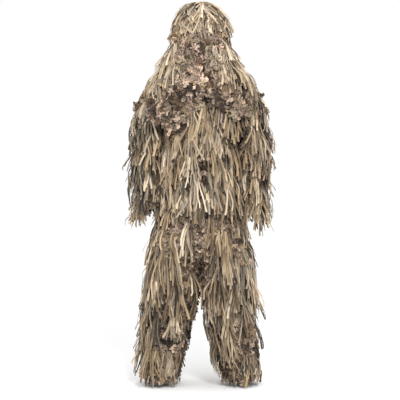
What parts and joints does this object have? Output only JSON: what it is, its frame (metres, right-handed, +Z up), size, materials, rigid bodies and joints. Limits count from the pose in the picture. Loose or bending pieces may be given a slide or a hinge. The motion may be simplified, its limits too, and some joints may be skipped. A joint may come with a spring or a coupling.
{
  "type": "ghillie suit",
  "caption": "Two-piece camouflage suit of loose cloth strips and cut-leaf net: trousers, zipped jacket with sleeves, and a hood with a face veil.",
  "frame": {"origin": "centre of the waistband, where the wearer's waist holds the suit up", "axes": "+Z up, -Y the way the suit faces, +X the wearer's left"},
  "size_m": [0.708, 0.421, 1.792],
  "materials": {
    "camo_cloth": "matte woven cloth printed with blurred tan and brown camouflage",
    "cloth_strip": "matte loose cloth strips, straw to brown",
    "leaf_net": "matte cloth cut into leaves on a net",
    "elastic": "matte covered elastic",
    "zip_tape": "matte woven tape",
    "zip_metal": "dark satin metal",
    "webbing": "matte woven webbing"
  },
  "bodies": {
    "trousers": {"trouser_seat": "camo_cloth", "waist_band": "camo_cloth", "waist_elastic": "elastic"},
    "thigh_leg_left": {"thigh_left": "camo_cloth", "thigh_strips_left": "cloth_strip"},
    "shin_leg_left": {"shin_left": "camo_cloth", "shin_strips_left": "cloth_strip", "ankle_left_band": "camo_cloth", "ankle_left_elastic": "elastic"},
    "thigh_leg_right": {"thigh_right": "camo_cloth", "thigh_strips_right": "cloth_strip"},
    "shin_leg_right": {"shin_right": "camo_cloth", "shin_strips_right": "cloth_strip", "ankle_right_band": "camo_cloth", "ankle_right_elastic": "elastic"},
    "jacket": {"jacket_back": "camo_cloth", "jacket_front_left": "camo_cloth", "jacket_front_right": "camo_cloth", "collar": "camo_cloth", "hang_loop": "webbing", "jacket_hem_band": "camo_cloth", "jacket_hem_elastic": "elastic", "mantle_front_left": "leaf_net", "mantle_front_right": "leaf_net", "mantle_back": "leaf_net", "front_upper_strips_left": "cloth_strip", "front_upper_strips_right": "cloth_strip", "front_lower_strips_left": "cloth_strip", "front_lower_strips_right": "cloth_strip", "back_upper_strips": "cloth_strip", "back_lower_strips": "cloth_strip", "hem_strips_front_left": "cloth_strip", "hem_strips_front_right": "cloth_strip", "hem_strips_back": "cloth_strip", "zip_tape_left": "zip_tape", "zip_tape_right": "zip_tape", "zip_teeth_left": "zip_metal", "zip_teeth_right": "zip_metal", "zip_stop": "zip_metal"},
    "upper_arm_left": {"sleeve_upper_left": "camo_cloth", "shoulder_leaves_left": "leaf_net", "sleeve_upper_strips_left": "cloth_strip"},
    "forearm_left": {"sleeve_lower_left": "camo_cloth", "sleeve_lower_strips_left": "cloth_strip", "cuff_left_band": "camo_cloth", "cuff_left_elastic": "elastic", "cuff_strips_left": "cloth_strip"},
    "upper_arm_right": {"sleeve_upper_right": "camo_cloth", "shoulder_leaves_right": "leaf_net", "sleeve_upper_strips_right": "cloth_strip"},
    "forearm_right": {"sleeve_lower_right": "camo_cloth", "sleeve_lower_strips_right": "cloth_strip", "cuff_right_band": "camo_cloth", "cuff_right_elastic": "elastic", "cuff_strips_right": "cloth_strip"},
    "hood": {"hood_shell": "camo_cloth", "hood_strips": "cloth_strip"},
    "veil": {"face_veil": "leaf_net"},
    "slider": {"zip_slider": "zip_metal"},
    "pull": {"zip_pull": "zip_metal"}
  },
  "joints": [
    {"name": "jacket_lift", "type": "slide", "parent": "trousers", "child": "jacket", "axis": [0, 0, 1], "range_m": [0, 0.3]},
    {"name": "shoulder_left", "type": "hinge", "parent": "jacket", "child": "upper_arm_left", "pos_m": [0.2335, 0, 0.39], "axis": [-1, 0, 0], "range_deg": [-30, 90]},
    {"name": "elbow_left", "type": "hinge", "parent": "upper_arm_left", "child": "forearm_left", "pos_m": [0.2405, 0, 0.13], "axis": [-1, 0, 0], "range_deg": [0, 75]},
    {"name": "hip_left", "type": "hinge", "parent": "trousers", "child": "thigh_leg_left", "pos_m": [0.0968, 0, -0.23], "axis": [-1, 0, 0], "range_deg": [-20, 20]},
    {"name": "knee_left", "type": "hinge", "parent": "thigh_leg_left", "child": "shin_leg_left", "pos_m": [0.14, 0, -0.53], "axis": [1, 0, 0], "range_deg": [0, 60]},
    {"name": "shoulder_right", "type": "hinge", "parent": "jacket", "child": "upper_arm_right", "pos_m": [-0.2335, 0, 0.39], "axis": [-1, 0, 0], "range_deg": [-30, 90]},
    {"name": "elbow_right", "type": "hinge", "parent": "upper_arm_right", "child": "forearm_right", "pos_m": [-0.2405, 0, 0.13], "axis": [-1, 0, 0], "range_deg": [0, 75]},
    {"name": "hip_right", "type": "hinge", "parent": "trousers", "child": "thigh_leg_right", "pos_m": [-0.0968, 0, -0.23], "axis": [-1, 0, 0], "range_deg": [-20, 20]},
    {"name": "knee_right", "type": "hinge", "parent": "thigh_leg_right", "child": "shin_leg_right", "pos_m": [-0.14, 0, -0.53], "axis": [1, 0, 0], "range_deg": [0, 60]},
    {"name": "hood_fold", "type": "hinge", "parent": "jacket", "child": "hood", "pos_m": [0, 0.118, 0.525], "axis": [-1, 0, 0], "range_deg": [0, 75]},
    {"name": "veil_lift", "type": "hinge", "parent": "hood", "child": "veil", "pos_m": [0, -0.163, 0.65], "axis": [-1, 0, 0], "range_deg": [0, 90]},
    {"name": "zip_slide", "type": "slide", "parent": "jacket", "child": "slider", "axis": [0, 0, -1], "range_m": [0, 0.499]},
    {"name": "zip_pull_swing", "type": "hinge", "parent": "slider", "child": "pull", "pos_m": [0, -0.14, 0.3955], "axis": [-1, 0, 0], "range_deg": [0, 110]}
  ]
}
